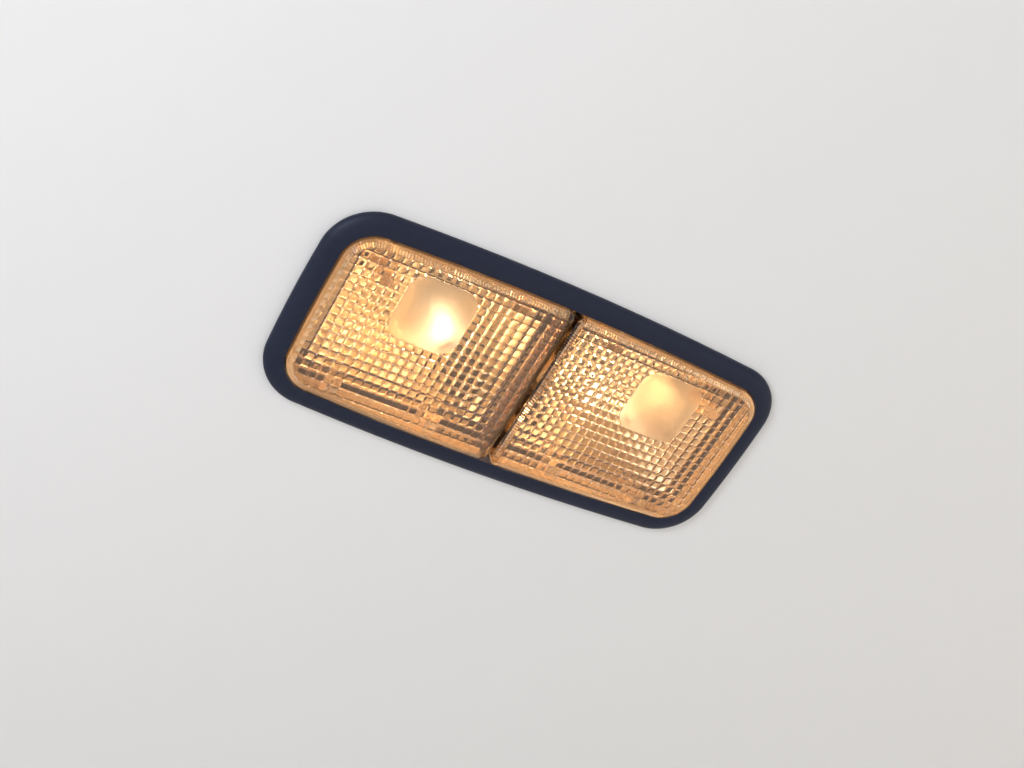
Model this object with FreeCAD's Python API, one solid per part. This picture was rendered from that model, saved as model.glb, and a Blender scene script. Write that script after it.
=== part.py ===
import FreeCAD, Part
import math
import os

# Twin press-lens map light for a car roof, in millimetres.
# The origin is the middle of the roof face of the bezel flange. +Z points up into the
# roof, the lenses face -Z, and X runs along the light.

# Lens outline, both lenses together
lens_length = 131.0
lens_width = 52.0
long_side_bow = 2.3
short_side_bow = 0.9
lens_corner_radius = 8.8
lens_split_gap = 1.2
split_corner_radius = 2.4

# Lens section, heights measured from the roof face
lens_face_drop = 4.8
lens_rim_width = 1.6
lens_rim_drop = 3.5
lens_plate_thickness = 2.4
lens_skirt_wall = 1.5
lens_skirt_top = 3.0

# Pillow optics of the lens
pillow_pitch = 2.5
pillow_groove_depth = 0.6
pillow_groove_width = 1.7
pillow_border = 2.7
pad_cells = 8
pad_end_inset = 29.0
pad_centre_y = -10.5
pad_corner_radius = 5.0
pad_dish_depth = 0.3
pad_edge_land = 1.2
pad_dish_slope = 1.5

# Lens hinge
hinge_inset = 4.0
hinge_z = 5.6
hinge_pin_radius = 1.5
hinge_pin_length = 2.4
hinge_pin_clearance = 0.08
hinge_tab_width = 4.0
hinge_tab_depth = 3.4
hinge_tab_inner_x = 20.0
hinge_tab_end_inset = 15.5
hinge_ear_thickness = 2.2
hinge_side_clearance = 0.4
hinge_ear_depth = 3.8
hinge_ear_drop = 2.2
hinge_ear_root = 4.0

# Lens leg that works the switch
leg_end_inset = 13.5
leg_to_bulb = 12.0
leg_size = 4.0
leg_edge_radius = 0.8
leg_to_plunger_gap = 0.3

# Catch that stops the lens from dropping, in a window of the case wall
catch_x = 15.0
catch_width = 5.0
catch_thickness = 1.8
catch_nose = 1.4
catch_nose_height = 2.0
catch_wall_gap = 0.4
catch_rest_gap = 0.3
catch_travel = 3.0
catch_side_gap = 0.5
catch_sill = 0.6

# Bezel
bezel_lens_clearance = 0.6
bezel_ring_width = 5.4
bezel_lip_drop = 3.0
bezel_lip_land = 0.9
bezel_edge_height = 0.7
bezel_collar_wall = 1.8
bezel_collar_height = 9.0
bezel_relief_depth = 1.0
bezel_relief_border = 1.8

# Rear case
case_inset = 1.6
case_wall = 2.0
case_rim_height = 2.5
case_floor_height = 30.0
case_floor_thickness = 2.0
case_edge_radius = 3.0
centre_wall_thickness = 2.0
centre_wall_start = 7.0

# Screws between case and bezel
lug_end_inset = 21.5
lug_outset = 1.4
lug_radius = 2.7
lug_depth = 3.4
pilot_radius = 1.0
lug_hole_radius = 1.4
screw_radius = 0.95
screw_length = 5.5
screw_head_radius = 2.2
screw_head_height = 1.7
screw_slot_length = 3.1
screw_slot_width = 0.7
screw_slot_depth = 0.8

# Roof screw towers
tower_x = 11.5
tower_y = 13.0
tower_radius = 4.2
tower_hole_radius = 2.25
tower_length = 14.0

# Reflectors
reflector_wall = 1.2
reflector_rim_z = 5.0
reflector_inner_x = 3.4
reflector_edge_inset = 4.5
reflector_hinge_gap = 0.5
reflector_rim_radius = 7.0
reflector_floor_length = 30.0
reflector_floor_width = 22.0
reflector_floor_radius = 6.0
reflector_clearance = 0.7

# Bulbs
bulb_x = 25.0
bulb_y = -2.0
bulb_radius = 4.7
bulb_length = 20.0
bulb_glass_wall = 0.7
bulb_shoulder_length = 5.0
bulb_neck_radius = 3.4
bulb_pinch = 1.5
bulb_base_width = 8.0
bulb_base_depth = 2.6
bulb_base_height = 6.0
filament_height = 7.5
filament_length = 3.8
filament_radius = 0.4
lead_radius = 0.25

# Bulb holders
holder_radius = 7.0
holder_reach = 5.0
holder_flange_radius = 9.5
holder_flange_height = 2.0
holder_hole_clearance = 0.3
holder_slot_clearance = 0.15
holder_grip_thickness = 3.0
holder_grip_height = 5.0
contact_thickness = 0.5
contact_width = 4.0
contact_foot = 9.4

# Push switches
switch_size = 8.0
switch_edge_radius = 0.8
switch_height = 12.0
switch_bore_spare = 3.0
switch_pin_radius = 0.6
switch_pin_clearance = 0.15
switch_feed_pin = 3.0
plunger_radius = 1.6
plunger_clearance = 0.15
plunger_throw = 4.5
plunger_stem = 6.0
plunger_head_radius = 2.9
plunger_head_height = 1.2
spring_radius = 2.3
spring_wire_radius = 0.3
spring_turns = 3

# Current strips on the case
strip_thickness = 0.8
strip_width = 4.0
strip_foot_margin = 0.6
feed_strip_offset = 4.0
strip_end_margin = 4.0
ground_strip_end = 34.0
strip_overlap = 2.5

# Wiring connector
connector_length = 18.0
connector_width = 11.0
connector_height = 12.0
connector_wall = 1.4
connector_y = -0.5
connector_edge_radius = 1.0
connector_latch_width = 5.0
connector_latch_depth = 1.2
connector_latch_height = 3.0
pin_spacing = 7.0
pin_width = 2.8
pin_thickness = 0.8
pin_rise = 7.0
pin_clearance = 0.1

# Spring clips at the ends
clip_width = 11.0
clip_thickness = 0.7
clip_fold = 1.6
clip_reach = 5.0
clip_top_z = 27.0
clip_tip_gap = 1.0
clip_knee_rise = 5.5
clip_seat_length = 9.0
clip_ledge = 1.2

face_z = -lens_face_drop
plate_back_z = face_z + lens_plate_thickness
collar_top_z = bezel_collar_height
case_rim_z = collar_top_z + case_rim_height
floor_top_z = case_floor_height + case_floor_thickness
strip_top_z = floor_top_z + strip_thickness
half_split = lens_split_gap / 2
half_length = lens_length / 2
half_width = lens_width / 2
pad_half = pad_cells * pillow_pitch / 2
pad_centre_x = half_length - pad_end_inset
hinge_y = half_width - hinge_inset
hinge_tab_outer_x = half_length - hinge_tab_end_inset
leg_x = half_length - leg_end_inset
leg_y = bulb_y - leg_to_bulb
lug_x = half_length - lug_end_inset
lug_y = half_width + lug_outset
reflector_outer_x = half_length - reflector_edge_inset
reflector_high_y = hinge_y - reflector_hinge_gap
feed_pin_y = leg_y - switch_feed_pin
ground_strip_y = bulb_y + contact_foot + strip_foot_margin
switched_strip_y = bulb_y - contact_foot - strip_foot_margin
feed_strip_y = leg_y - feed_strip_offset
clip_tip_z = case_rim_z + clip_tip_gap
clip_knee_z = clip_tip_z + clip_knee_rise

bezel_opening = bezel_lens_clearance
bezel_collar = bezel_opening + bezel_collar_wall
bezel_flange = bezel_opening + bezel_ring_width
case_end_x = lens_length / 2 - case_inset
tower_end_z = case_floor_height - tower_length
catch_sill_z = case_rim_z + catch_sill
catch_nose_z = catch_sill_z + catch_rest_gap
catch_top_z = catch_nose_z + catch_nose_height

holder_end_z = case_floor_height - holder_reach
holder_flange_z = strip_top_z + contact_thickness
holder_top_z = holder_flange_z + holder_flange_height + holder_grip_height
bulb_tip_z = holder_end_z - bulb_length
filament_z = bulb_tip_z + filament_height
pinch_z = holder_end_z - bulb_pinch

switch_end_z = case_floor_height - switch_height
plunger_head_z = switch_end_z - plunger_throw
plunger_tip_z = plunger_head_z - plunger_head_height
leg_tip_z = plunger_tip_z - leg_to_plunger_gap


def vec(x, y, z=0.0):
    return FreeCAD.Vector(x, y, z)


def box(x0, x1, y0, y1, z0, z1):
    return Part.makeBox(x1 - x0, y1 - y0, z1 - z0, vec(x0, y0, z0))


def block(x, y, length, width, z0, z1):
    return box(x - length / 2, x + length / 2, y - width / 2, y + width / 2, z0, z1)


def rod(radius, x, y, z0, z1):
    return Part.makeCylinder(radius, z1 - z0, vec(x, y, z0))


def rod_along_x(radius, x0, x1, y, z):
    return Part.makeCylinder(radius, x1 - x0, vec(x0, y, z), vec(1, 0, 0))


def at_height(wire, z):
    return wire.translated(vec(0, 0, z))


def prism(wire, z0, z1):
    return Part.Face(at_height(wire, z0)).extrude(vec(0, 0, z1 - z0))


def arc(start, middle, end):
    return Part.Arc(vec(*start), vec(*middle), vec(*end)).toShape()


def mirrored(shape):
    return shape.mirror(vec(0, 0, 0), vec(1, 0, 0))


def upright_edges(shape):
    def is_upright(edge):
        size = edge.BoundBox
        return size.ZLength > size.XLength + size.YLength

    return [edge for edge in shape.Edges if is_upright(edge)]


def rounded_rectangle(x0, x1, y0, y1, radius):
    inset = radius * (1 - math.sqrt(0.5))
    edges = [
        Part.makeLine(vec(x0 + radius, y0), vec(x1 - radius, y0)),
        arc((x1 - radius, y0), (x1 - inset, y0 + inset), (x1, y0 + radius)),
        Part.makeLine(vec(x1, y0 + radius), vec(x1, y1 - radius)),
        arc((x1, y1 - radius), (x1 - inset, y1 - inset), (x1 - radius, y1)),
        Part.makeLine(vec(x1 - radius, y1), vec(x0 + radius, y1)),
        arc((x0 + radius, y1), (x0 + inset, y1 - inset), (x0, y1 - radius)),
        Part.makeLine(vec(x0, y1 - radius), vec(x0, y0 + radius)),
        arc((x0, y0 + radius), (x0 + inset, y0 + inset), (x0 + radius, y0)),
    ]
    return Part.Wire(edges)


# The lens outline is four large arcs joined by corner arcs, all tangent. An offset keeps
# the arcs' centres and changes only their radii.
def bow_radius(chord, bow):
    return (chord * chord / 4 + bow * bow) / (2 * bow)


long_radius = bow_radius(lens_length, long_side_bow)
short_radius = bow_radius(lens_width, short_side_bow)
long_centre = (0.0, lens_width / 2 - long_radius)
short_centre = (lens_length / 2 - short_radius, 0.0)


def on_circle(centre, radius, towards):
    dx, dy = towards[0] - centre[0], towards[1] - centre[1]
    reach = math.hypot(dx, dy)
    return centre[0] + dx / reach * radius, centre[1] + dy / reach * radius


def halfway(first, second):
    return (first[0] + second[0]) / 2, (first[1] + second[1]) / 2


def corner_centre():
    """Centre of the corner arc, where circles about the two side centres cross."""
    long_reach = long_radius - lens_corner_radius
    short_reach = short_radius - lens_corner_radius
    dx, dy = short_centre[0] - long_centre[0], short_centre[1] - long_centre[1]
    span = math.hypot(dx, dy)
    along = (long_reach**2 - short_reach**2 + span**2) / (2 * span)
    across = math.sqrt(long_reach**2 - along**2)
    ux, uy = dx / span, dy / span
    crossings = [
        (long_centre[0] + along * ux - s * across * uy, long_centre[1] + along * uy + s * across * ux)
        for s in (-1, 1)
    ]
    return max(crossings)


corner = corner_centre()


def corner_points(offset):
    """Start, middle and end of the corner arc in the quarter with x and y above 0."""
    start = on_circle(long_centre, long_radius + offset, corner)
    end = on_circle(short_centre, short_radius + offset, corner)
    middle = on_circle(corner, lens_corner_radius + offset, halfway(start, end))
    return start, middle, end


def flip_x(point):
    return -point[0], point[1]


def flip_y(point):
    return point[0], -point[1]


def full_outline(offset):
    a, m, b = corner_points(offset)
    side = (lens_length / 2 + offset, 0)
    top = (0, lens_width / 2 + offset)
    edges = [
        arc(flip_y(b), side, b),
        arc(b, m, a),
        arc(a, top, flip_x(a)),
        arc(flip_x(a), flip_x(m), flip_x(b)),
        arc(flip_x(b), flip_x(side), flip_x(flip_y(b))),
        arc(flip_x(flip_y(b)), flip_x(flip_y(m)), flip_x(flip_y(a))),
        arc(flip_x(flip_y(a)), flip_y(top), flip_y(a)),
        arc(flip_y(a), flip_y(m), flip_y(b)),
    ]
    return Part.Wire(edges)


def half_outline(offset):
    """Outline of the lens on the +X side, with a straight edge beside the split."""
    a, m, b = corner_points(offset)
    side = (lens_length / 2 + offset, 0)
    radius = split_corner_radius + offset
    split_x = half_split - offset
    outer = long_radius + offset
    bend_x = split_x + radius
    bend_y = long_centre[1] + math.sqrt((outer - radius) ** 2 - bend_x**2)
    join = on_circle(long_centre, outer, (bend_x, bend_y))
    end = (split_x, bend_y)
    bend = on_circle((bend_x, bend_y), radius, halfway(join, end))
    crown = on_circle(long_centre, outer, halfway(a, join))
    edges = [
        arc(flip_y(b), side, b),
        arc(b, m, a),
        arc(a, crown, join),
        arc(join, bend, end),
        Part.makeLine(vec(*end), vec(*flip_y(end))),
        arc(flip_y(end), flip_y(bend), flip_y(join)),
        arc(flip_y(join), flip_y(crown), flip_y(a)),
        arc(flip_y(a), flip_y(m), flip_y(b)),
    ]
    return Part.Wire(edges)


# Lens
def lens_tray():
    """Plate with a sloped rim, and a skirt wall behind it."""
    outer = half_outline(0)
    front = half_outline(-lens_rim_width)
    rim = Part.makeLoft([at_height(front, face_z), at_height(outer, -lens_rim_drop)], True, True)
    wall = prism(outer, -lens_rim_drop, lens_skirt_top)
    hollow = prism(half_outline(-lens_skirt_wall), plate_back_z, lens_skirt_top)
    return rim.fuse(wall).cut(hollow)


def pad_outline(inset):
    return rounded_rectangle(
        pad_centre_x - pad_half + inset,
        pad_centre_x + pad_half - inset,
        pad_centre_y - pad_half + inset,
        pad_centre_y + pad_half - inset,
        pad_corner_radius - inset,
    )


def grid_lines(first, low, high):
    lowest = math.ceil((low - first) / pillow_pitch)
    highest = math.floor((high - first) / pillow_pitch)
    return [first + k * pillow_pitch for k in range(lowest, highest + 1)]


def groove(start, across, run):
    """V groove in the lens face, from start, along run."""
    points = [
        start - across,
        start + across,
        start + vec(0, 0, pillow_groove_depth),
    ]
    return Part.Face(Part.makePolygon(points + points[:1])).extrude(run)


def cut_pillows(body):
    """Crossing V grooves leave a field of square pillows round the smooth pad."""
    end_x = lens_length / 2
    end_y = lens_width / 2
    groove_z = face_z + pillow_groove_depth
    field = prism(half_outline_square(pillow_border), face_z, groove_z)
    field = field.cut(prism(pad_outline(0), face_z, groove_z))
    half = pillow_groove_width / 2
    rows = []
    for y in grid_lines(pad_centre_y - pad_half, -end_y, end_y):
        rows.append(groove(vec(0, y, face_z), vec(0, half, 0), vec(end_x, 0, 0)))
    columns = []
    for x in grid_lines(pad_centre_x - pad_half, 0, end_x):
        columns.append(groove(vec(x, -end_y, face_z), vec(half, 0, 0), vec(0, 2 * end_y, 0)))
    for grooves in (rows, columns):
        body = body.cut(field.common(Part.makeCompound(grooves)))
    return body


def half_outline_square(inset):
    """Outline of the pillow field: the lens outline drawn in, with square split corners."""
    a, m, b = corner_points(-inset)
    side = (lens_length / 2 - inset, 0)
    split_x = half_split + inset
    outer = long_radius - inset
    end = (split_x, long_centre[1] + math.sqrt(outer**2 - split_x**2))
    crown = on_circle(long_centre, outer, halfway(a, end))
    edges = [
        arc(flip_y(b), side, b),
        arc(b, m, a),
        arc(a, crown, end),
        Part.makeLine(vec(*end), vec(*flip_y(end))),
        arc(flip_y(end), flip_y(crown), flip_y(a)),
        arc(flip_y(a), flip_y(m), flip_y(b)),
    ]
    return Part.Wire(edges)


def dish_pad(body):
    edge = at_height(pad_outline(pad_edge_land), face_z)
    floor = at_height(pad_outline(pad_edge_land + pad_dish_slope), face_z + pad_dish_depth)
    return body.cut(Part.makeLoft([edge, floor], True, True))


def hinge_tab(x, pin_side):
    half = hinge_tab_width / 2
    tab = block(x, hinge_y, hinge_tab_width, hinge_tab_depth, plate_back_z, hinge_z)
    crown = rod_along_x(hinge_tab_depth / 2, x - half, x + half, hinge_y, hinge_z)
    pin_ends = sorted((x, x + pin_side * (half + hinge_pin_length)))
    pin = rod_along_x(hinge_pin_radius, pin_ends[0], pin_ends[1], hinge_y, hinge_z)
    return tab.fuse([crown, pin])


def catch_wall_y():
    """Inner face of the long case wall beside the catch, on the -Y side."""
    reach = long_radius - case_inset - case_wall
    return -(long_centre[1] + math.sqrt(reach**2 - (catch_x + catch_width / 2) ** 2))


def lens_catch():
    """Upright tongue with a nose that rests on the sill of the case window."""
    back_y = catch_wall_y() + catch_wall_gap
    x0, x1 = catch_x - catch_width / 2, catch_x + catch_width / 2
    tongue = box(x0, x1, back_y, back_y + catch_thickness, plate_back_z, catch_top_z)
    nose_y = back_y - catch_wall_gap - catch_nose
    return tongue.fuse(box(x0, x1, nose_y, back_y, catch_nose_z, catch_top_z))


def catch_window():
    x0 = catch_x - catch_width / 2 - catch_side_gap
    x1 = catch_x + catch_width / 2 + catch_side_gap
    inner_y = catch_wall_y() + catch_wall_gap
    return box(x0, x1, -lens_width / 2, inner_y, catch_sill_z, catch_top_z + catch_travel)


def make_lens():
    body = dish_pad(cut_pillows(lens_tray()))
    leg = block(leg_x, leg_y, leg_size, leg_size, plate_back_z, leg_tip_z)
    leg = leg.makeFillet(leg_edge_radius, upright_edges(leg))
    tabs = [hinge_tab(hinge_tab_inner_x, -1), hinge_tab(hinge_tab_outer_x, 1)]
    return body.fuse(tabs + [leg, lens_catch()])


# Bezel
def lug_places():
    return [(sx * lug_x, sy * lug_y) for sx in (-1, 1) for sy in (-1, 1)]


def bezel_crown():
    """Rounded face of the trim ring, from its outer edge up to the lip of the opening."""
    slope = bezel_ring_width - bezel_lip_land
    rise = bezel_lip_drop - bezel_edge_height
    steps = 5
    sections = []
    for k in range(steps):
        turn = math.pi / 2 * k / (steps - 1)
        outline = full_outline(bezel_flange - slope * (1 - math.cos(turn)))
        sections.append(at_height(outline, -bezel_edge_height - rise * math.sin(turn)))
    return Part.makeLoft(sections, True, False)


def make_bezel():
    """Trim ring with a crowned face, and a collar that the lenses move in."""
    edge = prism(full_outline(bezel_flange), -bezel_edge_height, 0)
    collar = prism(full_outline(bezel_collar), 0, collar_top_z)
    relief = prism(full_outline(bezel_flange - bezel_relief_border), -bezel_relief_depth, 0)
    relief = relief.cut(prism(full_outline(bezel_collar), -bezel_relief_depth, 0))
    lugs = []
    pilots = []
    for x, y in lug_places():
        lugs.append(rod(lug_radius, x, y, collar_top_z - lug_depth, collar_top_z))
        pilots.append(rod(pilot_radius, x, y, collar_top_z - lug_depth, collar_top_z))
    body = edge.fuse(bezel_crown()).cut(relief).fuse([collar] + lugs)
    opening = prism(full_outline(bezel_opening), -lens_face_drop, collar_top_z)
    return body.cut(pilots + [opening])


# Rear case
def hinge_ear(tab_x, pin_side):
    """Bearing ear for one hinge pin, hung from the long wall of the case."""
    near = tab_x + pin_side * (hinge_tab_width / 2 + hinge_side_clearance)
    x0, x1 = sorted((near, near + pin_side * hinge_ear_thickness))
    low_y = hinge_y - hinge_ear_depth / 2
    high_y = hinge_y + hinge_ear_depth / 2
    ear = box(x0, x1, low_y, high_y, hinge_z - hinge_ear_drop, case_rim_z + hinge_ear_root)
    bore = rod_along_x(hinge_pin_radius + hinge_pin_clearance, x0, x1, hinge_y, hinge_z)
    return ear.cut(bore)


def clip_ledge_block(side):
    """Raised seat on the end wall for a spring clip."""
    x0, x1 = sorted((side * (case_end_x - case_wall), side * (case_end_x + clip_ledge)))
    return box(
        x0, x1, -clip_width / 2, clip_width / 2, clip_top_z - clip_seat_length, clip_top_z
    )


def switch_pins(side):
    return [(side * leg_x, feed_pin_y), (side * leg_x, switched_strip_y)]


def case_shell():
    """Box with a rim that seats on the bezel collar, closed at the roof side."""
    walls = prism(full_outline(-case_inset), collar_top_z, floor_top_z)
    top_edges = [e for e in walls.Edges if e.BoundBox.ZMin > case_floor_height]
    walls = walls.makeFillet(case_edge_radius, top_edges)
    rim = prism(full_outline(bezel_collar), collar_top_z, case_rim_z)
    lugs = [rod(lug_radius, x, y, collar_top_z, case_rim_z) for x, y in lug_places()]
    hollow = prism(full_outline(-case_inset - case_wall), collar_top_z, case_floor_height)
    return walls.fuse([rim] + lugs).cut(hollow)


def make_case():
    half = centre_wall_thickness / 2
    wall_y = lens_width / 2 - case_inset - case_wall / 2
    additions = [box(-half, half, -wall_y, wall_y, centre_wall_start, case_floor_height)]
    cuts = [rod(lug_hole_radius, x, y, collar_top_z, case_rim_z) for x, y in lug_places()]
    for side in (-1, 1):
        additions.append(hinge_ear(side * hinge_tab_inner_x, -side))
        additions.append(hinge_ear(side * hinge_tab_outer_x, side))
        additions.append(clip_ledge_block(side))
        x = side * tower_x
        additions.append(rod(tower_radius, x, tower_y, tower_end_z, case_floor_height))
        cuts.append(rod(tower_hole_radius, x, tower_y, tower_end_z, floor_top_z))
        hole = holder_radius + holder_hole_clearance
        cuts.append(rod(hole, side * bulb_x, bulb_y, case_floor_height, floor_top_z))
        cuts.append(catch_window() if side > 0 else mirrored(catch_window()))
        for pin_x, pin_y in switch_pins(side):
            hole = switch_pin_radius + switch_pin_clearance
            cuts.append(rod(hole, pin_x, pin_y, case_floor_height, floor_top_z))
    return case_shell().fuse(additions).cut(cuts)


def ribbon(points, thickness):
    """Strip of even thickness beside a bent line in the XZ plane."""
    line = Part.makePolygon([vec(x, 0, z) for x, z in points])
    return line.makeOffset2D(thickness, 2, True, True)


def make_clip():
    """Bent sheet-steel clip: a seat on the case, a sprung knee and a lead-in tip."""
    inner_x = case_end_x + clip_ledge + clip_thickness
    points = [
        (inner_x, clip_top_z - clip_seat_length),
        (inner_x, clip_top_z),
        (inner_x + clip_fold, clip_top_z),
        (inner_x + clip_reach - clip_thickness, clip_knee_z),
        (inner_x + clip_fold, clip_tip_z),
    ]
    profile = ribbon(points, clip_thickness)
    return profile.translated(vec(0, -clip_width / 2, 0)).extrude(vec(0, clip_width, 0))


def make_screw(x, y):
    shank = rod(screw_radius, x, y, case_rim_z - screw_length, case_rim_z)
    head = rod(screw_head_radius, x, y, case_rim_z, case_rim_z + screw_head_height)
    top_edges = [e for e in head.Edges if e.BoundBox.ZMin > case_rim_z]
    head = head.makeFillet(screw_head_height / 3, top_edges)
    top = case_rim_z + screw_head_height
    slots = [
        block(x, y, screw_slot_length, screw_slot_width, top - screw_slot_depth, top),
        block(x, y, screw_slot_width, screw_slot_length, top - screw_slot_depth, top),
    ]
    return head.cut(slots).fuse(shank)


# Light units
def reflector_floor(inset):
    length = reflector_floor_length / 2 - inset
    width = reflector_floor_width / 2 - inset
    return rounded_rectangle(
        bulb_x - length,
        bulb_x + length,
        bulb_y - width,
        bulb_y + width,
        reflector_floor_radius - inset,
    )


def reflector_rim(inset):
    """Mouth of the bowl, clear of the lens catch on its -Y side."""
    low_y = catch_wall_y() + catch_wall_gap + catch_thickness + reflector_clearance
    return rounded_rectangle(
        reflector_inner_x + inset,
        reflector_outer_x - inset,
        low_y + inset,
        reflector_high_y - inset,
        reflector_rim_radius - inset,
    )


def reflector_bowl(inset):
    rim = at_height(reflector_rim(inset), reflector_rim_z)
    floor = at_height(reflector_floor(inset), case_floor_height - inset)
    return Part.makeLoft([rim, floor], True, True)


def make_reflector():
    """Bowl with holes for the bulb holder, the roof screw tower, the switch and the hinges."""
    bowl = reflector_bowl(0).cut(reflector_bowl(reflector_wall))
    opening = switch_size + 2 * reflector_clearance
    cuts = [
        rod(holder_radius + reflector_clearance, bulb_x, bulb_y, holder_end_z, case_floor_height),
        rod(tower_radius + reflector_clearance, tower_x, tower_y, 0, case_floor_height),
        block(leg_x, leg_y, opening, opening, 0, case_floor_height),
        hinge_notch(hinge_tab_inner_x, -1),
        hinge_notch(hinge_tab_outer_x, 1),
    ]
    return bowl.cut(cuts)


def hinge_notch(tab_x, pin_side):
    """Room in the reflector's edge for a hinge tab and its ear."""
    tab_side = tab_x - pin_side * (hinge_tab_width / 2 + reflector_clearance)
    ear_reach = hinge_tab_width / 2 + hinge_side_clearance + hinge_ear_thickness + reflector_clearance
    x0, x1 = sorted((tab_side, tab_x + pin_side * ear_reach))
    y0 = hinge_y - hinge_ear_depth / 2 - reflector_clearance
    return box(x0, x1, y0, half_width, 0, case_rim_z + hinge_ear_root + reflector_clearance)


def bulb_profile(wall):
    """Half section of the envelope, drawn in by wall, about the bulb's own axis."""
    radius = bulb_radius - wall
    dome_z = bulb_tip_z + bulb_radius
    shoulder_z = holder_end_z - bulb_shoulder_length
    end_z = pinch_z if wall else holder_end_z
    tip = vec(0, 0, dome_z - radius)
    bend = vec(radius * math.sqrt(0.5), 0, dome_z - radius * math.sqrt(0.5))
    edges = [
        Part.Arc(tip, bend, vec(radius, 0, dome_z)).toShape(),
        Part.makeLine(vec(radius, 0, dome_z), vec(radius, 0, shoulder_z)),
        Part.makeLine(vec(radius, 0, shoulder_z), vec(bulb_neck_radius - wall, 0, end_z)),
        Part.makeLine(vec(bulb_neck_radius - wall, 0, end_z), vec(0, 0, end_z)),
        Part.makeLine(vec(0, 0, end_z), tip),
    ]
    return Part.Face(Part.Wire(edges))


def make_bulb_glass():
    axis = vec(0, 0, 1)
    outer = bulb_profile(0).revolve(vec(0, 0, 0), axis, 360)
    inner = bulb_profile(bulb_glass_wall).revolve(vec(0, 0, 0), axis, 360)
    base_end = holder_end_z + bulb_base_height
    base = block(0, 0, bulb_base_width, bulb_base_depth, holder_end_z, base_end)
    base = base.makeFillet(bulb_base_depth / 4, upright_edges(base))
    return outer.cut(inner).fuse(base).translated(vec(bulb_x, bulb_y, 0))


def make_filament():
    half = filament_length / 2
    wire = rod_along_x(filament_radius, bulb_x - half, bulb_x + half, bulb_y, filament_z)
    leads = [
        rod(lead_radius, bulb_x + side * (half - lead_radius), bulb_y, filament_z, pinch_z)
        for side in (-1, 1)
    ]
    return wire.fuse(leads)


def make_contacts():
    """Two brass blades beside the bulb base, each with a foot on a current strip."""
    blades = []
    near = bulb_base_depth / 2 + holder_slot_clearance
    for side in (-1, 1):
        y0, y1 = sorted((bulb_y + side * near, bulb_y + side * (near + contact_thickness)))
        foot0, foot1 = sorted((bulb_y + side * near, bulb_y + side * contact_foot))
        x0, x1 = bulb_x - contact_width / 2, bulb_x + contact_width / 2
        blade = box(x0, x1, y0, y1, holder_end_z + contact_thickness, holder_flange_z)
        foot = box(x0, x1, foot0, foot1, strip_top_z, holder_flange_z)
        blades.append(blade.fuse(foot))
    return blades


def make_holder():
    """Wedge socket with a flange on the roof side of the case and a grip to turn it."""
    flange_top = holder_flange_z + holder_flange_height
    body = rod(holder_radius, bulb_x, bulb_y, holder_end_z, holder_flange_z)
    flange = rod(holder_flange_radius, bulb_x, bulb_y, holder_flange_z, flange_top)
    grip = block(
        bulb_x, bulb_y, 2 * holder_radius, holder_grip_thickness, flange_top, holder_top_z
    )
    grip = grip.makeFillet(holder_grip_thickness / 3, upright_edges(grip))
    slot_length = bulb_base_width + 2 * holder_slot_clearance
    slot_width = bulb_base_depth + 2 * (holder_slot_clearance + contact_thickness)
    slot_end = holder_end_z + bulb_base_height
    slot = block(bulb_x, bulb_y, slot_length, slot_width, holder_end_z, slot_end)
    return body.fuse([flange, grip]).cut([slot] + make_contacts())


# Switches
def make_switch_body():
    body = block(leg_x, leg_y, switch_size, switch_size, switch_end_z, case_floor_height)
    body = body.makeFillet(switch_edge_radius, upright_edges(body))
    bore_end = switch_end_z + plunger_stem + switch_bore_spare
    bore = rod(plunger_radius + plunger_clearance, leg_x, leg_y, switch_end_z, bore_end)
    pins = [
        rod(switch_pin_radius, x, y, case_floor_height, floor_top_z) for x, y in switch_pins(1)
    ]
    return body.cut(bore).fuse(pins)


def make_plunger():
    stem = rod(plunger_radius, leg_x, leg_y, plunger_head_z, switch_end_z + plunger_stem)
    head = rod(plunger_head_radius, leg_x, leg_y, plunger_tip_z, plunger_head_z)
    return stem.fuse(head)


def make_spring():
    """Return spring round the plunger, between its head and the switch body."""
    rise = plunger_throw - 2 * spring_wire_radius
    helix = Part.makeHelix(rise / spring_turns, rise, spring_radius)
    start = Part.Circle(vec(spring_radius, 0, 0), vec(0, 1, 0), spring_wire_radius)
    section = Part.Wire(start.toShape())
    coil = Part.Wire(helix).makePipeShell([section], True, True)
    return coil.translated(vec(leg_x, leg_y, plunger_head_z + spring_wire_radius))


# Current strips
def plate(x0, x1, y0, y1):
    return box(x0, x1, y0, y1, floor_top_z, strip_top_z)


def make_feed_strip():
    half = strip_width / 2
    end = leg_x + strip_end_margin
    leg = -pin_spacing / 2
    run = plate(-end, end, feed_strip_y - half, feed_strip_y + half)
    return run.fuse(plate(leg - half, leg + half, feed_strip_y, connector_y + strip_overlap))


def make_ground_strip():
    half = strip_width / 2
    end = ground_strip_end
    leg = pin_spacing / 2
    run = plate(-end, end, ground_strip_y - half, ground_strip_y + half)
    return run.fuse(plate(leg - half, leg + half, connector_y - strip_overlap, ground_strip_y))


def make_switched_strip():
    half = strip_width / 2
    start = bulb_x - contact_width / 2
    end = leg_x + strip_end_margin
    return plate(start, end, switched_strip_y - half, switched_strip_y + half)


# Wiring connector
def pin_block(extra, z0, z1):
    return [
        block(side * pin_spacing / 2, connector_y, pin_width + extra, pin_thickness + extra, z0, z1)
        for side in (-1, 1)
    ]


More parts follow.
